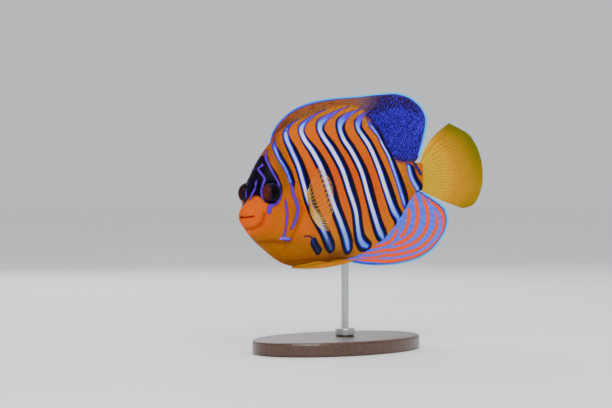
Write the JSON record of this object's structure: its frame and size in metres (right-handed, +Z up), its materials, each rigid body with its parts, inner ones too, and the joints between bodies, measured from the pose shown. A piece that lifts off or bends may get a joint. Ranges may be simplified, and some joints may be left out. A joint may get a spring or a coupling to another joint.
{
  "type": "regal angelfish",
  "caption": "life-size still model of a regal angelfish with spread pectoral fins and a curved tail, held up by a short rod on a flat oval display base",
  "frame": {"origin": "middle of the flat underside of the oval stand base, on the surface that it stands on", "axes": "+Z up, out of the base; +X from the snout to the tail along the fish, its longest extent; the fish's left flank faces -Y"},
  "size_m": [0.1853, 0.084, 0.1712],
  "materials": {
    "head_skin": "satin orange skin with a dark mask and violet lines",
    "body_skin": "satin orange scaled skin with white, blue and black stripes",
    "dorsal_fin": "satin fin, brown in front and deep violet-blue behind",
    "anal_fin": "satin fin with orange and lilac bands",
    "tail_fin": "satin yellow fin, olive at the edge",
    "pectoral_fin": "clear yellow membrane with yellow rays",
    "pelvic_fin": "satin golden yellow fin",
    "eye": "glossy, near-black iris with a brown front",
    "stand_wood": "dark stained, satin varnished",
    "stand_metal": "brushed"
  },
  "bodies": {
    "root": {"head": "head_skin", "torso": "body_skin", "tail_peduncle": "body_skin", "dorsal_fin": "dorsal_fin", "anal_fin": "anal_fin", "caudal_fin": "tail_fin", "pectoral_fin_left": "pectoral_fin", "pectoral_fin_right": "pectoral_fin", "pelvic_fin_left": "pelvic_fin", "pelvic_fin_right": "pelvic_fin", "eye_left": "eye", "eye_right": "eye", "stand_base": "stand_wood", "stand_collar": "stand_metal", "stand_rod": "stand_metal"}
  },
  "joints": []
}
